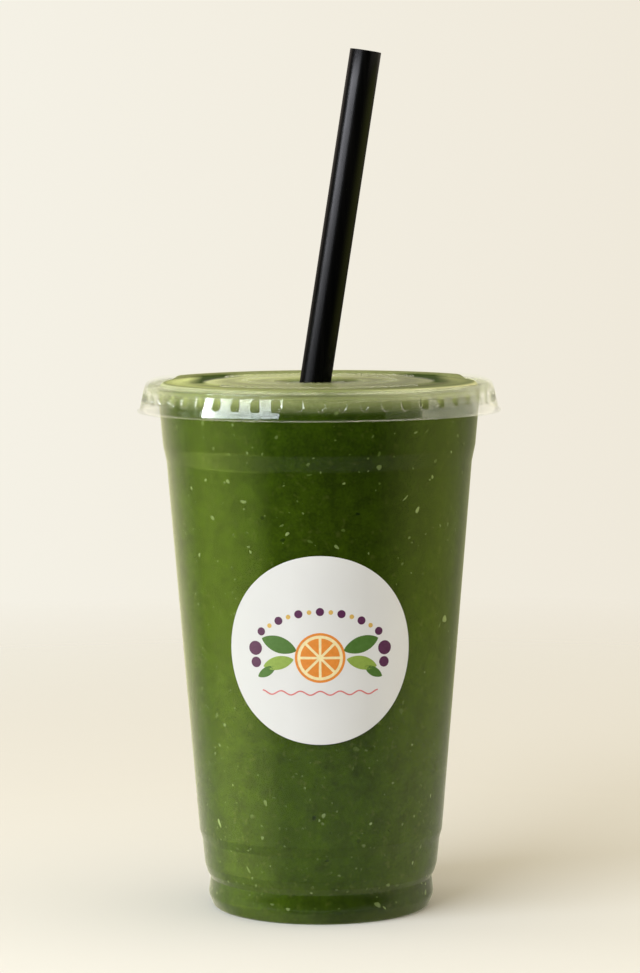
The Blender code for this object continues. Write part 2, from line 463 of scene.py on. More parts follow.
def clear_plastic(name, tint, ior, haze, ripple_depth, frost=(), straight=0.0, steps=()):
    """Clear moulded plastic: refracting, with an uneven haze and slow ripples; bounced light passes it.

    haze is its least and greatest roughness, and frost adds to that with the distance from the axis. straight
    is the share of light that a wall this thin lets through unbent, and steps change it with that distance.
    """
    made, shading = new_material(name)
    radius = shading.radius()
    ripple = shading.noise(45.0, detail=1.0, stretch=(1.0, 1.0, 0.35))
    shader = shading.add(
        "BsdfPrincipled",
        {
            "Base Color": tint,
            "Transmission Weight": 1.0,
            "IOR": ior,
            "Roughness": shading.stepped(radius, shading.contrast(shading.noise(60.0), *haze), frost),
            "Normal": shading.bumped(ripple, 0.6, ripple_depth),
        },
    )
    through = shading.add("BsdfTransparent", {"Color": tint})
    rays = shading.add("LightPath").outputs
    passing = shading.maths("MAXIMUM", rays["Is Shadow Ray"], rays["Is Diffuse Ray"])
    passing = shading.maths("MAXIMUM", passing, shading.stepped(radius, straight, steps))
    shading.finish(shading.mixed(passing, shader, through))
    return made


# The drink's greens and its painted shade, and the colours of its froth and of the painted reflection at its
# rim
CLOUD_FACTORS = (0.72, 1.3)
GRAIN_FACTORS = ((0.78, 0.8, 0.7), (1.22, 1.2, 1.4))
PULP_COLOUR = (0.1, 0.12, 0.025)
COLLAR_SHADE = (0.72, 0.76, 0.6)
HEEL_SHADE = (0.5, 0.52, 0.4)
SHADE_PATCH_CENTRE = (14 * MM, -42 * MM, 118 * MM)
FROTH_COLOURS = ((0.25, 0.285, 0.115), (0.36, 0.39, 0.19))
PAINTED_RIM_REFLECTION = ((0.5, 0.52, 0.34), (0.8, 0.8, 0.52))

# Where the froth starts below the lid, and the lid's parts that press into it
FROTH_LOW = 144.8 * MM
FROTH_HIGH = 148.6 * MM
FROTH_RIM = 44.0 * MM
WELL_RADIUS = 12.0 * MM
PANEL_RADIUS = 32.0 * MM
RIDGE_PITCH = 9.5 * MM

# The bands of the froth's rim, one over the other: (start, end, amount) up the rim
RIM_BANDS = (
    (148.8 * MM, 149.1 * MM, 1.05),
    (149.4 * MM, 149.7 * MM, -1.35),
    (150.7 * MM, 151.0 * MM, 0.05),
)


def drink_colour(shading, colour, grain):
    """The drink's green: slow clouds times a fine grain, with soft pale bits of pulp.

    It has painted shade in the collar under the lid, in a wide patch at the upper front, and low in the heel
    at the right.
    """
    x, _, height = shading.axes()
    dark, light = (tuple(channel * factor for channel in colour) for factor in CLOUD_FACTORS)
    clouds = shading.remapped(shading.noise(190.0, detail=5.0, roughness=0.7), 0.33, 0.67)
    body = shading.blended(clouds, dark, light)
    body = shading.times(body, shading.blended(grain, *GRAIN_FACTORS))
    pulp = shading.remapped(shading.noise(520.0, detail=1.0), 0.62, 0.76, 0.0, 0.4)
    body = shading.blended(pulp, body, PULP_COLOUR)
    # Painted shade in the collar, under the lid
    shaded_collar = shading.remapped(height, 120 * MM, 133 * MM)
    body = shading.blended(shaded_collar, body, shading.times(body, COLLAR_SHADE))
    # A wide patch of painted shade at the upper front
    shade_patch = shading.vectors("DISTANCE", shading.place(), SHADE_PATCH_CENTRE).outputs["Value"]
    body = shading.times(body, shading.remapped(shade_patch, 10 * MM, 34 * MM, 0.62, 1.0))
    # Painted shade low in the heel at the right
    low = shading.remapped(height, 8 * MM, 11 * MM, 1.0, 0.0)
    shaded_heel = shading.product(low, shading.remapped(x, -12 * MM, 8 * MM))
    return shading.blended(shaded_heel, body, shading.times(body, HEEL_SHADE))


def froth_colour(shading, grain):
    """The froth's green: rings like the lid's ridges over its top, and bands round its rim.

    Painted light makes the top paler to the left, and it is paler to the back; the rim has a painted
    reflection of the cup's clear rim, palest at both sides.
    """
    x, y, height = shading.axes()
    radius = shading.radius()
    froth = shading.blended(grain, *FROTH_COLOURS)
    # Painted light: the froth's top is paler to the left
    painted_light_left = shading.remapped(x, -30 * MM, 30 * MM, 1.4, 0.62)
    to_back = shading.remapped(y, -22 * MM, 20 * MM, 0.72, 1.35)
    waves = shading.maths("SINE", shading.product(radius, math.tau / RIDGE_PITCH))
    ridges = shading.remapped(waves, -1.0, 1.0, 0.74, 1.22)
    top = shading.times(froth, shading.product(painted_light_left, to_back, ridges))
    rim = shading.times(froth, shading.stepped(height, 1.05, RIM_BANDS))
    # A painted reflection of the cup's clear rim, pale at both sides of the froth's rim
    above = shading.remapped(height, 148.2 * MM, 148.8 * MM, 0.0, 0.9)
    below = shading.remapped(height, 151.1 * MM, 151.4 * MM, 1.0, 0.0)
    sides = shading.remapped(shading.maths("ABSOLUTE", x), 8 * MM, 27 * MM)
    pale = shading.blended(shading.remapped(x, -20 * MM, 20 * MM), *PAINTED_RIM_REFLECTION)
    rim = shading.blended(shading.product(above, sides, below), rim, pale)
    at_rim = shading.remapped(radius, FROTH_RIM - 0.2 * MM, FROTH_RIM + 0.2 * MM)
    return shading.blended(at_rim, top, rim)


def froth_share(shading):
    """How much of the froth covers the drink: from its lower edge up, and less in the lid's well.

    It leaves a dark lens of painted shade in the lid's moat at both sides of the back, where the drink shows
    without froth.
    """
    x, y, height = shading.axes()
    radius = shading.radius()
    aside = shading.maths("ABSOLUTE", x)
    # A dark lens of painted shade at both sides of the moat's back, where the froth is left out
    lens = shading.product(
        shading.remapped(radius, PANEL_RADIUS, PANEL_RADIUS + 1.5 * MM),
        shading.remapped(y, -9 * MM, -3 * MM),
        shading.remapped(aside, 22 * MM, 28 * MM, 0.1, 1.0),
        shading.remapped(aside, 34 * MM, 38 * MM, 1.0, 0.0),
    )
    edge = shading.remapped(y, 0.0, 20 * MM, 36.5 * MM, 44 * MM)
    inside = shading.remapped(shading.maths("SUBTRACT", radius, edge), 0.0, MM, 1.0, 0.0)
    return shading.product(
        shading.remapped(height, FROTH_LOW, FROTH_HIGH),
        shading.remapped(radius, WELL_RADIUS, WELL_RADIUS + MM, 0.1, 1.0),
        shading.maths("SUBTRACT", 1.0, shading.product(lens, inside)),
    )


def pulpy_shader(shading, colour):
    """The matt shader of the drink and of all that floats in it."""
    inputs = {"Base Color": colour, "Roughness": 0.6, "Specular IOR Level": 0.02}
    return shading.add("BsdfPrincipled", inputs)


def drink_material(colour):
    """Thick blended drink, deep green, with pale froth at its top."""
    made, shading = new_material("green_drink")
    grain = shading.contrast(shading.noise(1300.0, roughness=0.6))
    green = drink_colour(shading, colour, grain)
    shade = shading.blended(froth_share(shading), green, froth_colour(shading, grain))
    shading.finish(pulpy_shader(shading, shade))
    return made


def speck_material(name, drink, colour):
    """A bit of pulp or leaf, whose colour fades into the drink's by the mesh's core attribute."""
    made, shading = new_material(name)
    core = shading.add("Attribute")
    core.attribute_name = "core"
    uneven = shading.contrast(shading.noise(2200.0, detail=2.0), 0.75, 1.0)
    share = shading.product(core.outputs["Fac"], uneven)
    shading.finish(pulpy_shader(shading, shading.blended(share, drink, colour)))
    return made


# The straw's gloss at the lid and at its top, how many times more there is at its sides, and its tint
STRAW_GLOSS = (0.0052, 0.011)
STRAW_SIDES = 7.5
STRAW_TINT = (0.8, 0.75, 0.785)
STRAW_BLACKS = ((0.0008, 0.0009, 0.0009), (0.002, 0.002, 0.0018))


def straw_material():
    """Satin black plastic with faint drawn streaks along it and a weak gloss, stronger at its sides."""
    made, shading = new_material("black_plastic")
    height = shading.axes()[2]
    streaks = shading.noise(700.0, detail=2.0, stretch=(1.0, 1.0, 0.03))
    normal = shading.bumped(streaks, 0.15, 0.02 * MM)
    shader = shading.add(
        "BsdfPrincipled",
        {
            "Base Color": shading.blended(shading.contrast(streaks), *STRAW_BLACKS),
            "Roughness": 0.4,
            "Specular IOR Level": 0.0,
            "Normal": normal,
        },
    )
    gloss = shading.add(
        "BsdfGlossy",
        {
            "Color": STRAW_TINT,
            "Roughness": shading.contrast(streaks, 0.23, 0.29),
            "Normal": normal,
        },
    )
    shine = shading.remapped(height, 150 * MM, 245 * MM, *STRAW_GLOSS)
    facing = shading.add("LayerWeight", {"Blend": 0.5}).outputs["Facing"]
    sides = shading.product(shading.maths("POWER", facing, 1.5), STRAW_SIDES)
    share = shading.product(shine, shading.maths("ADD", sides, 1.0))
    shading.finish(shading.mixed(share, shader, gloss))
    return made


PAPER_WHITES = ((0.75, 0.755, 0.79), (0.79, 0.795, 0.83))


def paper_material():
    """Satin coated paper with a very fine tooth, with painted shade at its left and painted light at its
    right.
    """
    made, shading = new_material("white_paper")
    x = shading.axes()[0]
    tooth = shading.noise(2500.0)
    white = shading.blended(shading.contrast(shading.noise(40.0, detail=2.0)), *PAPER_WHITES)
    # Painted shade at the sticker's left and painted light at its right
    left = shading.remapped(x, -23 * MM, -8 * MM, 0.86, 1.0)
    right = shading.remapped(x, 13 * MM, 23 * MM, 0.0, 0.17)
    white = shading.times(white, shading.maths("ADD", left, right))
    shader = shading.add(
        "BsdfPrincipled",
        {
            "Base Color": shading.blended(shading.contrast(tooth, 0.0, 0.06), white, (0.7, 0.7, 0.7)),
            "Roughness": shading.contrast(tooth, 0.35, 0.5),
            "Specular IOR Level": 0.25,
            "Normal": shading.bumped(tooth, 0.2, 0.01 * MM),
        },
    )
    shading.finish(shader)
    return made


def ink_material(name, colour):
    """Printing ink on paper, a little uneven."""
    made, shading = new_material(name)
    pale = tuple(min(1.0, channel * 1.12 + 0.008) for channel in colour)
    uneven = shading.contrast(shading.noise(900.0, detail=2.0))
    inputs = {"Base Color": shading.blended(uneven, colour, pale), "Roughness": 0.45}
    shading.finish(shading.add("BsdfPrincipled", inputs))
    return made


# Operators, one for each piece or group


# Columns of faces round the cup and the drink, and the longest face up their sides
COLUMNS = 160
SKIN_STEP = 2.5 * MM
# The cup's rim lets more light through unbent than its wall, by (start, end, amount) out from its axis
CUP_STEPS = ((46.1 * MM, 46.5 * MM, 0.7),)


class SMOOTHIE_OT_cup(bpy.types.Operator):
    """Make the clear cup"""

    bl_idname = "smoothie.cup"
    bl_label = "Cup"

    def execute(self, context):
        sizes = context.scene.smoothie_cup
        skin = spaced(cup_skin(sizes.wall), SKIN_STEP)
        lining = moved_left(skin, sizes.wall)
        profile = np.vstack([lining, skin[::-1]])
        cup = rings_mesh("clear_cup", turned(profile, COLUMNS))
        plastic = clear_plastic("clear_plastic", sizes.tint, 1.5, (0.05, 0.1), 0.03 * MM, steps=CUP_STEPS)
        settle(cup, plastic, ["cup"])
        return {"FINISHED"}


# The snap dents: where they start and end up the skirt, how wide they are and how far the first is turned
DENT_TOP = 149.2 * MM
DENT_FOOT = 145.9 * MM
DENT_HALF_WIDTH = 1.1 * MM
DENT_TURN = math.radians(0.6)
# The columns of faces for each dent, over the lid's top and over its skirt
TOP_COLUMNS = 4
SKIRT_COLUMNS = 16

# How hazy the lid is and how much light it lets through unbent, by (start, end, amount) out from its middle
LID_FROST = ((33.0 * MM, 30.0 * MM, 0.2), (51.65 * MM, 51.85 * MM, 0.15))
LID_STRAIGHT = 0.8
LID_STEPS = (
    (WELL_RADIUS, WELL_RADIUS + MM, -0.15),
    (PANEL_RADIUS, PANEL_RADIUS + 1.5 * MM, 0.35),
    (49.2 * MM, 50.0 * MM, -0.3),
    (51.4 * MM, 51.6 * MM, 0.2),
)


def lid_skin():
    """The lid's outer face: fine over the skirt, where the dents are pressed, and coarser over the top."""
    path = rounded(lid_corners(), 5)
    cut = np.argmax(path[:, 1] <= DENT_TOP)
    top = spaced(path[:cut], 3.0 * MM)
    skirt = spaced(path[cut - 1 :], 0.3 * MM)
    return np.vstack([top, skirt[1:]])


def pressed(points, dents, depth):
    """A ring of the lid's points with U-shaped dents pressed into the skirt at equal angles.

    A dent deepens from its open top to its rounded foot; u runs across it from -1 to 1, and its half width
    narrows over the last part as a half circle does. The dent is depth * t * (1 - u^4), towards the axis.
    """
    radius = np.hypot(points[:, 0], points[:, 1])
    height = points[:, 2]
    if radius[0] < 48.0 * MM or not DENT_FOOT < height[0] < DENT_TOP:
        return points
    pitch = math.tau / dents
    angle = np.arctan2(points[:, 1], points[:, 0]) + pitch / 2 - DENT_TURN
    across = (np.mod(angle, pitch) - pitch / 2) * radius
    t = (DENT_TOP - height) / (DENT_TOP - DENT_FOOT)
    foot = np.clip((height - DENT_FOOT) / DENT_HALF_WIDTH, 0.0, 1.0)
    half_width = DENT_HALF_WIDTH * np.sqrt(1 - (1 - foot) ** 2)
    u = np.clip(np.abs(across) / half_width, 0.0, 1.0)
    push = depth * t * (1 - u**4)
    return points * np.stack([1 - push / radius, 1 - push / radius, np.ones_like(radius)], axis=1)


# The rings of nubs as (radius in millimetres, how many); past NUB_ASIDE to either side they are left out
NUB_RINGS = ((21.5, 60), (34.0, 96), (36.6, 102))
NUB_ASIDE = 28.0
NUB_RADIUS = 0.7 * MM
NUB_HEIGHT = 0.5 * MM
NUB_SINK = 0.08 * MM
# A nub's profile as shares of its (radius, height): a dome of about height * (1 - d^2), then its flat base
NUB_PROFILE = ((0.0, 1.0), (0.4, 0.84), (0.75, 0.44), (1.0, 0.0), (0.0, 0.0))
NUB_POINTS = 10


def nub(centre):
    """Rings of a small clear dome on the lid, closed by a flat base."""
    profile = np.array(NUB_PROFILE) * (NUB_RADIUS, NUB_HEIGHT)
    return [ring + centre for ring in turned(profile, NUB_POINTS)]


class SMOOTHIE_OT_nubs(bpy.types.Operator):
    """Make the rings of small moulded nubs on the lid"""

    bl_idname = "smoothie.nubs"
    bl_label = "Lid nubs"

    def execute(self, context):
        path = rounded(lid_corners())
        parts = []
        for ring, count in NUB_RINGS:
            height = np.interp(ring * MM, path[:, 0], path[:, 1]) - NUB_SINK
            for angle in np.linspace(0.0, math.tau, count, endpoint=False):
                if ring * abs(math.cos(angle)) > NUB_ASIDE:
                    continue
                centre = np.array([ring * MM * math.cos(angle), ring * MM * math.sin(angle), height])
                parts.append(rings_faces(nub(centre)))
        tint = context.scene.smoothie_lid.tint
        nubs = mesh_of("lid_nubs", *joined(parts))
        plastic = clear_plastic("nub_plastic", tint, 1.5, (0.05, 0.1), 0.02 * MM, straight=0.55)
        settle(nubs, plastic)
        return {"FINISHED"}


class SMOOTHIE_OT_lid(bpy.types.Operator):
    """Make the clear flat lid with its snap dents"""

    bl_idname = "smoothie.lid"
    bl_label = "Lid"

    def execute(self, context):
        sizes = context.scene.smoothie_lid
        skin = lid_skin()
        lining = moved_left(skin, -sizes.wall)
        profile = np.vstack([skin, lining[::-1]])
        columns = np.where(profile[:, 1] > DENT_TOP, TOP_COLUMNS, SKIRT_COLUMNS) * sizes.dents
        rings = [pressed(ring, sizes.dents, sizes.dent_depth) for ring in turned(profile, columns)]
        lid = rings_mesh("clear_lid", rings)
        light = (LID_FROST, LID_STRAIGHT, LID_STEPS)
        plastic = clear_plastic("lid_plastic", sizes.tint, 1.54, (0.02, 0.05), 0.04 * MM, *light)
        settle(lid, plastic, ["lid"])
        return {"FINISHED"}


# The middle of the straw's upper end, and the fillet of its cut edges
STRAW_TOP = np.array([13.7 * MM, 0.0, 245.3 * MM])
STRAW_EDGE = 0.1 * MM


class SMOOTHIE_OT_straw(bpy.types.Operator):
    """Make the wide black straw"""

    bl_idname = "smoothie.straw"
    bl_label = "Straw"

    def execute(self, context):
        sizes = context.scene.smoothie_straw
        outer = sizes.diameter / 2
        inner = outer - sizes.wall
        corners = [
            (outer, sizes.length / 2, 0.0),
            (outer, 0.0, STRAW_EDGE),
            (inner, 0.0, STRAW_EDGE),
            (inner, sizes.length, STRAW_EDGE),
            (outer, sizes.length, STRAW_EDGE),
            (outer, sizes.length / 2, 0.0),
        ]
        profile = spaced(rounded(corners, 3), 12 * MM)
        turn = np.array(Matrix.Rotation(sizes.lean, 3, "Y"))
        foot = STRAW_TOP - turn @ np.array([0.0, 0.0, sizes.length])
        rings = [ring @ turn.T + foot for ring in turned(profile[:-1], 72)]
        straw = rings_mesh("black_straw", rings, closed=True)
        settle(straw, straw_material(), ["straw"])
        return {"FINISHED"}


# The height of the drink's edge on the cup's wall, and the radius where its top leaves the lid's underside
BRIM = 149.2 * MM
TOP_RADIUS = 44.5 * MM
# The edge's (radius, height) points where it has crept under the lid's crest, which is up to 62 degrees off
# the back at full height, and not at all past 72
CREPT_EDGE = MM * np.array(
    [[44.95, 151.95], [45.6, 152.03], [46.4, 152.08], [46.9, 151.5], [46.7, 150.87], [46.2, 150.1]]
)
CREPT_FULL = math.cos(math.radians(62.0))
CREPT_NONE = math.cos(math.radians(72.0))


def drink_side(wall, reach):
    """The path of the drink's face from the middle of the cup's base up to the brim."""
    path = moved_left(spaced(cup_skin(wall), SKIN_STEP), wall - reach)
    return path[: np.argmax(path[:, 1] > BRIM)]


def creep(rings, first):
    """Moves the rings of the drink's edge, from the first on, to CREPT_EDGE at the back.

    A point goes the share (c - none) / (full - none) of the way, for the cosine c of its angle off the back.
    """
    for number, crept in enumerate(turned(CREPT_EDGE, COLUMNS), first):
        cosine = crept[:, 1] / np.hypot(crept[:, 0], crept[:, 1])
        share = np.clip((cosine - CREPT_NONE) / (CREPT_FULL - CREPT_NONE), 0.0, 1.0)
        rings[number] += share[:, None] * (crept - rings[number])
    return rings


class SMOOTHIE_OT_drink(bpy.types.Operator):
    """Make the smoothie, which reaches just into the cup's wall and the lid's underside"""

    bl_idname = "smoothie.drink"
    bl_label = "Drink"

    def execute(self, context):
        sizes = context.scene.smoothie_cup
        lid_wall = context.scene.smoothie_lid.wall
        side = drink_side(sizes.wall, sizes.reach)
        under_lid = moved_left(lid_skin(), sizes.reach - lid_wall)
        top = under_lid[: np.argmax(under_lid[:, 0] > TOP_RADIUS)]
        turn = np.linspace(0.0, math.pi / 2, len(CREPT_EDGE) + 2)[1:-1]
        across, down = side[-1, 0] - top[-1, 0], top[-1, 1] - side[-1, 1]
        shoulder = [top[-1, 0] + across * np.sin(turn), side[-1, 1] + down * np.cos(turn)]
        profile = np.vstack([top, np.stack(shoulder, axis=1), side[::-1]])
        drink = rings_mesh("green_smoothie", creep(turned(profile, COLUMNS), len(top)))
        settle(drink, drink_material(sizes.drink), ["smoothie"])
        return {"FINISHED"}


# How deep a speck's edge is sunk, and how far its middle rises over that
SPECK_SINK = 0.05 * MM
SPECK_RISE = 0.14 * MM
# The rings of a speck as (share of its reach, share of its colour), and the points round each
SPECK_RINGS = ((0.0, 1.0), (0.5, 0.95), (0.8, 0.6), (1.0, 0.0))
SPECK_POINTS = 10
PALE_PULP = (0.38, 0.48, 0.2)
DARK_LEAF = (0.004, 0.011, 0.0008)
# The specks stand on the cup's side, outside the radius where its foot turns under
SIDE_RADIUS = 31.0 * MM

# The larger specks that the photograph shows: degrees from the front, then millimetres up, half length and
# half width, then turn in degrees and strength
PALE_SPECKS = (
    (39.7, 117.4, 1.1, 0.8, 60, 1.0),
    (46.6, 126.3, 0.8, 0.5, 130, 0.7),
    (56.1, 132.9, 0.5, 0.4, 90, 0.9),
    (33.8, 121.0, 1.3, 0.35, 45, 0.6),
    (61.5, 85.2, 1.5, 1.4, 80, 1.0),
    (60.4, 34.4, 0.7, 0.4, 80, 0.8),
    (50.3, 15.9, 0.7, 0.4, 95, 0.8),
    (29.7, 5.2, 1.5, 0.8, 135, 0.38),
    (33.7, 4.1, 0.8, 0.3, 140, 0.55),
    (23.2, 29.2, 0.7, 0.4, 45, 0.8),
    (-54.5, 27.4, 1.6, 0.7, 110, 0.9),
    (-25.6, 35.2, 1.1, 0.7, 120, 0.4),
    (-27.9, 25.0, 0.7, 0.6, 0, 0.4),
    (-37.5, 15.1, 1.3, 0.5, 120, 0.38),
    (-56.2, 123.0, 0.6, 0.6, 0, 0.7),
    (-47.0, 125.7, 0.6, 0.5, 0, 0.6),
    (-29.4, 120.3, 1.1, 0.7, 0, 0.5),
    (-44.6, 115.2, 1.2, 0.6, 150, 0.5),
    (-12.2, 111.7, 0.8, 0.6, 30, 0.7),
    (-54.2, 104.2, 0.8, 0.6, 90, 0.6),
    (-27.4, 106.3, 0.7, 0.4, 100, 0.6),
)
DARK_SPECKS = (
    (14.3, 117.2, 0.8, 0.7, 0, 1.0),
    (-21.8, 116.0, 0.9, 0.7, 30, 0.8),
    (-14.0, 110.0, 1.0, 0.7, 0, 0.7),
    (38.5, 108.6, 0.8, 0.7, 0, 0.8),
    (-3.0, 31.5, 0.9, 0.8, 0, 0.8),
    (2.8, 19.0, 0.7, 0.4, 0, 0.8),
)


def speck(path, azimuth, height, length, width, turn, wobble):
    """Rings of a flat speck in the drink's side: an oval with a wavy edge, domed by rise * (1 - s^2) - sink.

    s runs from 0 in its middle to 1 at its edge, which is sunk in the drink; path is the drink's side.
    """
    around = np.linspace(0.0, math.tau, SPECK_POINTS, endpoint=False)
    edge = 1 + 0.18 * np.cos(2 * around + wobble) + 0.12 * np.cos(3 * around - 2 * wobble)
    rings = []
    for share, _ in SPECK_RINGS:
        reach = (share * edge)[: 1 if share == 0.0 else None]
        along = length * reach * np.cos(around[: len(reach)])
        aside = width * reach * np.sin(around[: len(reach)])
        across = along * math.cos(turn) - aside * math.sin(turn)
        up = along * math.sin(turn) + aside * math.cos(turn)
        rings.append((across, up, SPECK_RISE * (1 - share**2) - SPECK_SINK))
    rings.append((np.zeros(1), np.zeros(1), -2 * SPECK_SINK))
    placed = []
    for across, up, lift in rings:
        radius = np.interp(height + up, path[:, 1], path[:, 0]) + lift
        angle = azimuth + across / radius
        placed.append(np.stack([radius * np.sin(angle), -radius * np.cos(angle), height + up], axis=1))
    return placed


def specks_piece(name, path, rows, material):
    """All specks of a list of rows as one object, with core from each one's strength in its middle to 0."""
    parts, core = [], []
    for number, (azimuth, height, length, width, turn, strength) in enumerate(rows):
        sizes = (height * MM, length * MM, width * MM)
        rings = speck(path, math.radians(azimuth), *sizes, math.radians(turn), number * 2.4)
        parts.append(rings_faces(rings))
        for ring, (_, share) in zip(rings, (*SPECK_RINGS, (0.0, 0.0))):
            core += [share * strength] * len(ring)
    piece = mesh_of(name, *joined(parts))
    layer = piece.data.attributes.new("core", "FLOAT", "POINT")
    layer.data.foreach_set("value", core)
    return settle(piece, material)


def scattered(count, size, seed):
    """Rows of specks scattered over the whole side, most of them small and faint."""
    rng = np.random.default_rng(seed)
    azimuth = rng.uniform(-180.0, 180.0, count)
    height = rng.uniform(4.0, 146.0, count)
    length = size * np.clip(np.exp(rng.normal(0.0, 0.4, count)), 0.5, 2.6)
    width = length * rng.uniform(0.45, 1.0, count)
    turn = rng.uniform(0.0, 180.0, count)
    strength = 0.1 + 0.46 * rng.uniform(0.0, 1.0, count) ** 2
    return list(zip(azimuth, height, length, width, turn, strength))


class SMOOTHIE_OT_specks(bpy.types.Operator):
    """Make the pale pulp specks and the dark leaf flecks in the drink's side"""

    bl_idname = "smoothie.specks"
    bl_label = "Specks"

    def execute(self, context):
        sizes = context.scene.smoothie_cup
        path = drink_side(sizes.wall, sizes.reach)
        path = path[np.argmax(path[:, 0] > SIDE_RADIUS) :]
        pale = speck_material("pulp", sizes.drink, PALE_PULP)
        dark = speck_material("leaf", sizes.drink, DARK_LEAF)
        specks_piece("pulp_specks", path, [*PALE_SPECKS, *scattered(sizes.specks, 0.42, 5)], pale)
        specks_piece("leaf_flecks", path, [*DARK_SPECKS, *scattered(sizes.flecks, 0.5, 11)], dark)
        return {"FINISHED"}


# The slits' lips: from where to where they run out from the hole's middle, and their half width and rise
SLIT_START = 5.0 * MM
SLIT_END = 10.5 * MM
SLIT_HALF_WIDTH = 0.16 * MM
SLIT_RISE = 0.12 * MM


class SMOOTHIE_OT_slits(bpy.types.Operator):
    """Make the raised lips of the crossed slits round the straw"""

    bl_idname = "smoothie.slits"
    bl_label = "Lid slits"

    def execute(self, context):
        parts = []
        base = np.array([0.0, 0.0, WELL_HEIGHT])
        rise = np.array([0.0, 0.0, SLIT_RISE])
        corners = np.array([[1.0, 1.0], [-1.0, 1.0], [-1.0, -1.0], [1.0, -1.0]])
        for azimuth in np.radians((45.0, 135.0, 225.0, 315.0)):
            along = np.array([math.cos(azimuth), math.sin(azimuth), 0.0])
            aside = np.array([-math.sin(azimuth), math.cos(azimuth), 0.0]) * SLIT_HALF_WIDTH
            start, end = base + along * SLIT_START, base + along * SLIT_END
            section = corners @ np.stack([aside, rise])
            rings = [start[None], start + section, end + section, end[None]]
            parts.append(outward(*rings_faces(rings)))
        slits = mesh_of("lid_slits", *joined(parts))
        tint = context.scene.smoothie_lid.tint
        settle(slits, clear_plastic("slit_plastic", tint, 1.46, (0.12, 0.2), 0.02 * MM))
        return {"FINISHED"}


class SMOOTHIE_OT_sticker(bpy.types.Operator):
    """Make the round sticker"""

    bl_idname = "smoothie.sticker"
    bl_label = "Sticker"

    def execute(self, context):
        sizes = context.scene.smoothie_sticker
        angle = np.linspace(0.0, math.tau, 128, endpoint=False)
        front, back = [], []
        rim = sizes.diameter / 2
        for radius in (*np.linspace(0.0, rim - sizes.thickness, 25), rim):
            turn = angle if radius else angle[:1]
            across, up = radius * np.cos(turn), radius * np.sin(turn)
            front.append(wrapped(across, up, sizes.thickness, sizes.height))
            back.append(wrapped(across, up, 0.0, sizes.height))
        sticker = rings_mesh("paper_sticker", front + back[::-1])
        settle(sticker, paper_material(), ["sticker"])
        return {"FINISHED"}


# The sticker's glue, and the ends of the tapered side that it is laid on, as (radius, height)
STAND_OFF = 0.03 * MM
BODY_LOW = (35.05 * MM, 22.4 * MM)
BODY_TOP = (43.78 * MM, 129.4 * MM)
TAPER = math.atan2(BODY_TOP[0] - BODY_LOW[0], BODY_TOP[1] - BODY_LOW[1])


def wrapped(across, up, lift, height):
    """Points of a flat sheet laid on the cup's tapered body.

    up runs along the taper, and across runs round the cup from the front, -Y, as an angle of across over the
    radius there. lift stands the point off the cup's outer face.
    """
    middle = BODY_LOW[0] + (height - BODY_LOW[1]) * math.tan(TAPER)
    radius = middle + up * math.sin(TAPER) + (STAND_OFF + lift) / math.cos(TAPER)
    angle = across / radius
    z = height + up * math.cos(TAPER)
    return np.stack([radius * np.sin(angle), -radius * np.cos(angle), z], axis=-1)


# The widest face of a print, and how far its front stands above the layer below and its back lies under it
PRINT_STEP = 1.1 * MM
PRINT_SINK = 0.02 * MM


def plate(outline, lift, height):
    """A thin printed plate: rings shrink evenly from a closed outline of (across, up) to its middle."""
    middle = outline.mean(axis=0)
    steps = max(2, math.ceil(np.linalg.norm(outline - middle, axis=1).max() / PRINT_STEP))
    front, back = [], []
    for share in np.linspace(0.0, 1.0, steps + 1):
        ring = middle + share * (outline if share else outline[:1]) - share * middle
        front.append(wrapped(ring[:, 0], ring[:, 1], lift, height))
        back.append(wrapped(ring[:, 0], ring[:, 1], lift - 2 * PRINT_SINK, height))
    return outward(*rings_faces(front + back[::-1]))


def band(path, half_width, lift, height, closed=False):
    """A thin printed line of even width along a path of (across, up), in a loop or with blunt ends."""
    if closed:
        along = np.roll(path, -1, axis=0) - np.roll(path, 1, axis=0)
    else:
        along = np.gradient(path, axis=0)
    along = along / np.linalg.norm(along, axis=1)[:, None]
    aside = np.stack([-along[:, 1], along[:, 0]], axis=1) * half_width
    under = lift - 2 * PRINT_SINK
    rings = []
    for point, side in zip(path, aside):
        edges = np.array([point + side, point - side, point - side, point + side])
        lifts = np.array([lift, lift, under, under])
        rings.append(wrapped(edges[:, 0], edges[:, 1], lifts, height))
    if not closed:
        first, last = (wrapped(*end[:, None], lift - PRINT_SINK, height) for end in (path[0], path[-1]))
        rings = [first, *rings, last]
    return outward(*rings_faces(rings, closed))


def disc(across, up, radius):
    """The outline of a disc, in metres from millimetres."""
    turn = np.linspace(0.0, math.tau, 48, endpoint=False)
    return np.stack([across + radius * np.cos(turn), up + radius * np.sin(turn)], axis=1) * MM


def leaf(across, up, length, width, angle):
    """The outline of a leaf pointed at both ends: width * sin t * |sin t|^0.6 over length * cos t."""
    turn = np.linspace(0.0, math.tau, 48, endpoint=False)
    along = length / 2 * np.cos(turn)
    aside = width / 2 * np.sin(turn) * np.abs(np.sin(turn)) ** 0.6
    tilt = math.radians(angle)
    x = across + along * math.cos(tilt) - aside * math.sin(tilt)
    y = up + along * math.sin(tilt) + aside * math.cos(tilt)
    return np.stack([x, y], axis=1) * MM


def segment(across, up, inner, outer, angle, half_angle):
    """The outline of a citrus segment: an arc at its outer radius and straight sides to its inner tip."""
    spread = np.radians(angle + np.linspace(-half_angle, half_angle, 13))
    arc = outer * np.stack([np.cos(spread), np.sin(spread)], axis=1)
    tip = inner * np.array([math.cos(math.radians(angle)), math.sin(math.radians(angle))])
    share = np.linspace(0.0, 1.0, 7)[1:, None]
    down = arc[-1] * (1 - share) + tip * share
    upward = tip * (1 - share[:-1]) + arc[0] * share[:-1]
    return (np.vstack([arc, down, upward]) + np.array([across, up])) * MM


# The middle of the citrus slice, in millimetres from the sticker's middle
SLICE = (0.0, -2.0)


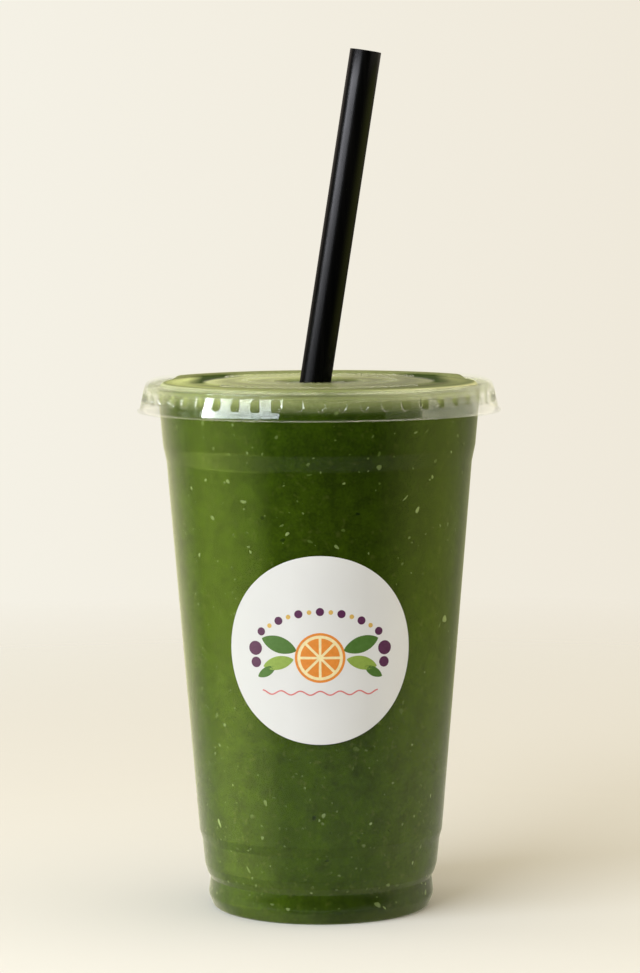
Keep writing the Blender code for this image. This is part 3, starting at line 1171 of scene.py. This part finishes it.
def print_shapes():
    """The sticker's print by ink: a citrus slice between leaves, under an arc of beads, over a wavy line."""
    orange = [("band", disc(*SLICE, 6.7), 0.35 * MM, 1, True)]
    for angle in range(0, 360, 45):
        orange.append(("plate", segment(*SLICE, 0.9, 5.5, angle + 22.5, 18.5), 2))
    pith = [("plate", disc(*SLICE, 6.3), 1)]
    dark_leaf, pale_leaf, plum = [], [], []
    for side in (-1, 1):
        tilt = 90 - 90 * side
        dark_leaf.append(("plate", leaf(11.6 * side, 1.6, 10.5, 4.6, tilt + 18 * side), 1))
        dark_leaf.append(("plate", leaf(15.2 * side, -6.2, 6.0, 2.6, tilt - 30 * side), 1))
        pale_leaf.append(("plate", leaf(11.8 * side, -3.6, 9.0, 3.8, tilt - 14 * side), 1))
        plum.append(("plate", disc(18.6 * side, 0.4, 2.0), 1))
        plum.append(("plate", disc(18.4 * side, -3.6, 1.5), 1))
    gold = []
    for place in range(-6, 7):
        turn = math.radians(place * 6.4)
        centre = (27.0 * math.sin(turn), 27.0 * math.cos(turn) - 16.0)
        target, radius = (plum, 1.15) if place % 2 == 0 else (gold, 0.65)
        target.append(("plate", disc(*centre, radius), 1))
    across = np.linspace(-16.5, 16.5, 121)
    wave = np.stack([across, 0.55 * np.cos(across * math.tau / 5.5) - 12.0], axis=1) * MM
    rose = [("band", wave, 0.2 * MM, 1, False)]
    return {
        "print_orange": ((0.72, 0.24, 0.03), orange),
        "print_pith": ((0.84, 0.72, 0.42), pith),
        "print_dark_leaf": ((0.06, 0.15, 0.02), dark_leaf),
        "print_pale_leaf": ((0.25, 0.36, 0.06), pale_leaf),
        "print_plum": ((0.085, 0.01, 0.07), plum),
        "print_gold": ((0.62, 0.40, 0.10), gold),
        "print_rose": ((0.62, 0.17, 0.18), rose),
    }


class SMOOTHIE_OT_print(bpy.types.Operator):
    """Make the sticker's print from thin plates of ink"""

    bl_idname = "smoothie.print"
    bl_label = "Print"

    def execute(self, context):
        sizes = context.scene.smoothie_sticker
        for name, (colour, shapes) in print_shapes().items():
            parts = []
            for kind, outline, *rest in shapes:
                if kind == "plate":
                    lift = sizes.thickness + rest[0] * PRINT_SINK
                    parts.append(plate(outline, lift, sizes.height))
                else:
                    half_width, layer, closed = rest
                    lift = sizes.thickness + layer * PRINT_SINK
                    parts.append(band(outline, half_width, lift, sizes.height, closed))
            ink = mesh_of(name, *joined(parts))
            ink.data.shade_flat()
            settle(ink, ink_material(name, colour))
        return {"FINISHED"}


class SMOOTHIE_OT_stage(bpy.types.Operator):
    """Make the pale floor, the soft studio light and the camera"""

    bl_idname = "smoothie.stage"
    bl_label = "Stage"

    def execute(self, context):
        make_floor()
        make_world(context.scene)
        for name, settings in SOFTBOXES.items():
            make_softbox(name, *settings)
        make_camera(context.scene)
        context.scene.view_settings.view_transform = "Standard"
        return {"FINISHED"}


# The floor's rings, as radii in metres, and its colour
FLOOR_RINGS = (0.0, 0.1, 0.3, 0.6, 0.9, 1.2)
FLOOR_COLOUR = (0.778, 0.772, 0.785)


def make_floor():
    """A round pale floor that fades into the backdrop; reflections and bounced light see less of it."""
    radius = np.array(FLOOR_RINGS)
    profile = np.stack([radius, np.zeros_like(radius)], axis=1)
    floor = rings_mesh("floor", turned(profile, 96))
    made, shading = new_material("pale_floor")
    distance = shading.radius()
    rays = shading.add("LightPath").outputs
    seen = shading.maths("MAXIMUM", rays["Is Camera Ray"], rays["Is Transmission Ray"])
    far = shading.remapped(distance, 0.2, 0.75, 0.03, 1.0)
    near = shading.remapped(distance, 0.12, 0.4, 0.6, 1.0)
    clear = shading.maths("ADD", near, shading.product(seen, shading.maths("SUBTRACT", far, near)))
    shader = shading.add("BsdfDiffuse", {"Color": FLOOR_COLOUR})
    shading.finish(shading.mixed(clear, shader, shading.add("BsdfTransparent")))
    floor.data.materials.append(made)


# The studio's colours: those that reflections see, the light that it gives, and what the camera sees.
# LEFT_GLOW is (straight at the left, towards its ends), and the other pairs are (at the left, at the right).
DIM = (0.03, 0.03, 0.02)
CEILING = (1.6, 1.47, 1.22)
LEFT_GLOW = ((2.2, 2.8, 0.6), (1.25, 1.6, 0.38))
RIGHT_GLOW = (0.74, 0.85, 0.2)
BACK_GLOW = ((1.0, 0.95, 0.6), (0.4, 0.4, 0.22))
AMBIENT = (1.0, 0.87, 0.59)
BACKDROP = ((0.912, 0.88, 0.785), (0.865, 0.815, 0.705))


def reflected_ceiling(shading, y, z):
    """What reflections see above the horizon: light from above, from behind and from beside the cup."""
    above = shading.remapped(z, 0.45, 0.8, 0.03, 0.65)
    behind = shading.remapped(y, 0.8, 0.97, 0.0, 0.38)
    beside = shading.product(shading.remapped(y, 0.3, 0.75), shading.remapped(y, 0.9, 0.96, 1.0, 0.0))
    share = shading.maths("MAXIMUM", above, shading.maths("MAXIMUM", behind, beside))
    return shading.blended(share, (0.0, 0.0, 0.0), CEILING)


def reflected_walls(shading, x, y, z):
    """What reflections see below the horizon: a dim front, green light from both sides and a pale back."""
    at_back = shading.remapped(y, 0.3, 0.8)
    off_middle = shading.maths("ABSOLUTE", shading.maths("ADD", y, 0.08))
    glow = shading.blended(shading.remapped(off_middle, 0.15, 0.5), *LEFT_GLOW)
    left = shading.blended(shading.remapped(y, -0.78, -0.58), DIM, glow)
    under = shading.maths(
        "ADD", shading.remapped(z, -0.28, -0.23, 0.0, 0.4), shading.remapped(z, -0.36, -0.5, 0.0, 0.5)
    )
    left = shading.blended(under, left, DIM)
    left = shading.blended(at_back, left, BACK_GLOW[0])
    right = shading.blended(shading.remapped(y, -0.72, -0.2), DIM, RIGHT_GLOW)
    right = shading.blended(at_back, right, BACK_GLOW[1])
    return shading.blended(shading.remapped(x, -0.15, 0.15), left, right)


def make_world(scene):
    """A studio all round: cream to the camera, weak and warm as light, and its own colours in reflections."""
    world = bpy.data.worlds.new("studio")
    scene.world = world
    shading = Shading(world)
    place = shading.add("TexCoord").outputs["Generated"]
    x, y, z = shading.add("SeparateXYZ", {"Vector": place}).outputs

    # What reflections see
    ceiling = reflected_ceiling(shading, y, z)
    walls = reflected_walls(shading, x, y, z)
    low = shading.remapped(z, 0.0, -0.06)
    mirror = shading.add("Background", {"Color": shading.blended(low, ceiling, walls)})

    # What lights the pieces: a little from all round, more from above and from the left
    zenith = shading.maths("POWER", shading.maths("MAXIMUM", z, 0.0), 3.0)
    ambient = shading.maths("ADD", 0.14, shading.product(zenith, 1.5))
    aside = shading.remapped(x, -0.25, -0.9, 0.0, 1.4)
    aside = shading.product(aside, shading.remapped(z, 0.12, -0.05))
    ambient = shading.maths("ADD", ambient, aside)
    lit = shading.add("Background", {"Color": AMBIENT, "Strength": ambient})

    # What the camera sees, also through the clear plastic
    cream = shading.blended(shading.remapped(x, -0.09, 0.09), *BACKDROP)
    backdrop = shading.add("Background", {"Color": cream})

    # Which of the three a ray meets
    rays = shading.add("LightPath").outputs
    glossy = shading.maths("GREATER_THAN", rays["Glossy Depth"], 0.5)
    bounces = shading.maths("ADD", rays["Glossy Depth"], rays["Diffuse Depth"])
    straight = shading.maths("LESS_THAN", bounces, 0.5)
    direct = shading.maths("MAXIMUM", rays["Is Camera Ray"], rays["Is Transmission Ray"])
    bounced = shading.mixed(glossy, lit, mirror)
    shading.finish(shading.mixed(shading.product(direct, straight), bounced, backdrop), "OutputWorld")


COOL = (0.89, 0.96, 1.0)
WARM = (1.0, 0.95, 0.82)

# The softboxes: azimuth and elevation in degrees, distance, width and height in metres, radiance, colour, and
# the kind of ray that passes them by, so that each highlight and each wash of light is set on its own
SOFTBOXES = {
    "key": (-44.0, 28.0, 1.2, 1.1, 0.45, 9.2, COOL, "glossy"),
    "softbox_card": (-53.5, 17.0, 1.2, 1.18, 0.3, 21.0, COOL, "diffuse"),
    "left_wash": (-108.0, 3.0, 2.4, 1.0, 0.4, 15.0, COOL, "glossy"),
    "right_reflector": (90.0, 8.0, 1.2, 2.0, 0.5, 2.1, WARM, "glossy"),
    "right_card": (86.0, 20.0, 1.2, 2.0, 0.5, 0.95, WARM, "diffuse"),
}


def make_softbox(name, azimuth, elevation, distance, width, height, radiance, colour, unseen):
    """A rectangular softbox facing the cup's middle; azimuth 0 is -Y and 90 is +X. Power is pi * L * area."""
    around, above = math.radians(azimuth), math.radians(elevation)
    flat = math.cos(above)
    away = Vector((math.sin(around) * flat, -math.cos(around) * flat, math.sin(above)))
    data = bpy.data.lights.new(name, "AREA")
    data.shape = "RECTANGLE"
    data.size = width
    data.size_y = height
    data.energy = radiance * math.pi * width * height
    data.color = colour
    light = bpy.data.objects.new(name, data)
    bpy.context.scene.collection.objects.link(light)
    light.location = Vector((0.0, 0.0, 0.1)) + away * distance
    light.rotation_euler = away.to_track_quat("Z", "Y").to_euler()
    light.visible_transmission = False
    setattr(light, "visible_" + unseen, False)


# The photograph's frame in pixels, its focal length in the same pixels, and the camera's place and turn
PHOTO_WIDTH = 640
PHOTO_HEIGHT = 973
FOCAL_PIXELS = 3499.2
SENSOR = 36.0
CAMERA_PLACE = (0.000178, -1.0, 0.2091)
CAMERA_PITCH = 0.0877
CAMERA_ROLL = -0.0044


def make_camera(scene):
    """The camera, looking along +Y and a little down, with the photograph's slight roll."""
    data = bpy.data.cameras.new("camera")
    data.sensor_width = SENSOR
    data.lens = FOCAL_PIXELS / max(PHOTO_WIDTH, PHOTO_HEIGHT) * SENSOR
    data.clip_start = 0.01
    data.clip_end = 50.0
    camera = bpy.data.objects.new("camera", data)
    scene.collection.objects.link(camera)
    level = Euler((math.pi / 2 - CAMERA_PITCH, 0.0, 0.0)).to_matrix()
    turn = (level @ Matrix.Rotation(CAMERA_ROLL, 3, "Z")).to_4x4()
    camera.matrix_world = Matrix.Translation(CAMERA_PLACE) @ turn
    scene.camera = camera


class SMOOTHIE_PT_panel(bpy.types.Panel):
    """Sizes of the smoothie's pieces and the buttons that make them"""

    bl_label = "Green Smoothie"
    bl_idname = "SMOOTHIE_PT_panel"
    bl_space_type = "VIEW_3D"
    bl_region_type = "UI"
    bl_category = "Smoothie"

    def draw(self, context):
        for group, steps in PANEL_ROWS:
            box = self.layout.box()
            if group:
                settings = getattr(context.scene, group)
                for prop in settings.bl_rna.properties:
                    if prop.identifier not in {"rna_type", "name"}:
                        box.prop(settings, prop.identifier)
            for step in steps:
                box.operator(step.bl_idname)


PANEL_ROWS = (
    ("smoothie_cup", (SMOOTHIE_OT_cup, SMOOTHIE_OT_drink, SMOOTHIE_OT_specks)),
    ("smoothie_lid", (SMOOTHIE_OT_lid, SMOOTHIE_OT_nubs, SMOOTHIE_OT_slits)),
    ("smoothie_straw", (SMOOTHIE_OT_straw,)),
    ("smoothie_sticker", (SMOOTHIE_OT_sticker, SMOOTHIE_OT_print)),
    (None, (SMOOTHIE_OT_stage,)),
)
GROUPS = {
    "smoothie_cup": CupSizes,
    "smoothie_lid": LidSizes,
    "smoothie_straw": StrawSizes,
    "smoothie_sticker": StickerSizes,
}
OPERATORS = tuple(step for _, steps in PANEL_ROWS for step in steps)


def register():
    for made in (*GROUPS.values(), *OPERATORS, SMOOTHIE_PT_panel):
        bpy.utils.register_class(made)
    for name, group in GROUPS.items():
        setattr(bpy.types.Scene, name, PointerProperty(type=group))


def unregister():
    for name in GROUPS:
        delattr(bpy.types.Scene, name)
    for made in reversed((*GROUPS.values(), *OPERATORS, SMOOTHIE_PT_panel)):
        bpy.utils.unregister_class(made)


def main():
    """Makes every piece and the stage."""
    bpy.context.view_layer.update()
    register()
    for step in OPERATORS:
        area, name = step.bl_idname.split(".")
        getattr(getattr(bpy.ops, area), name)()


if __name__ == "__main__":
    main()
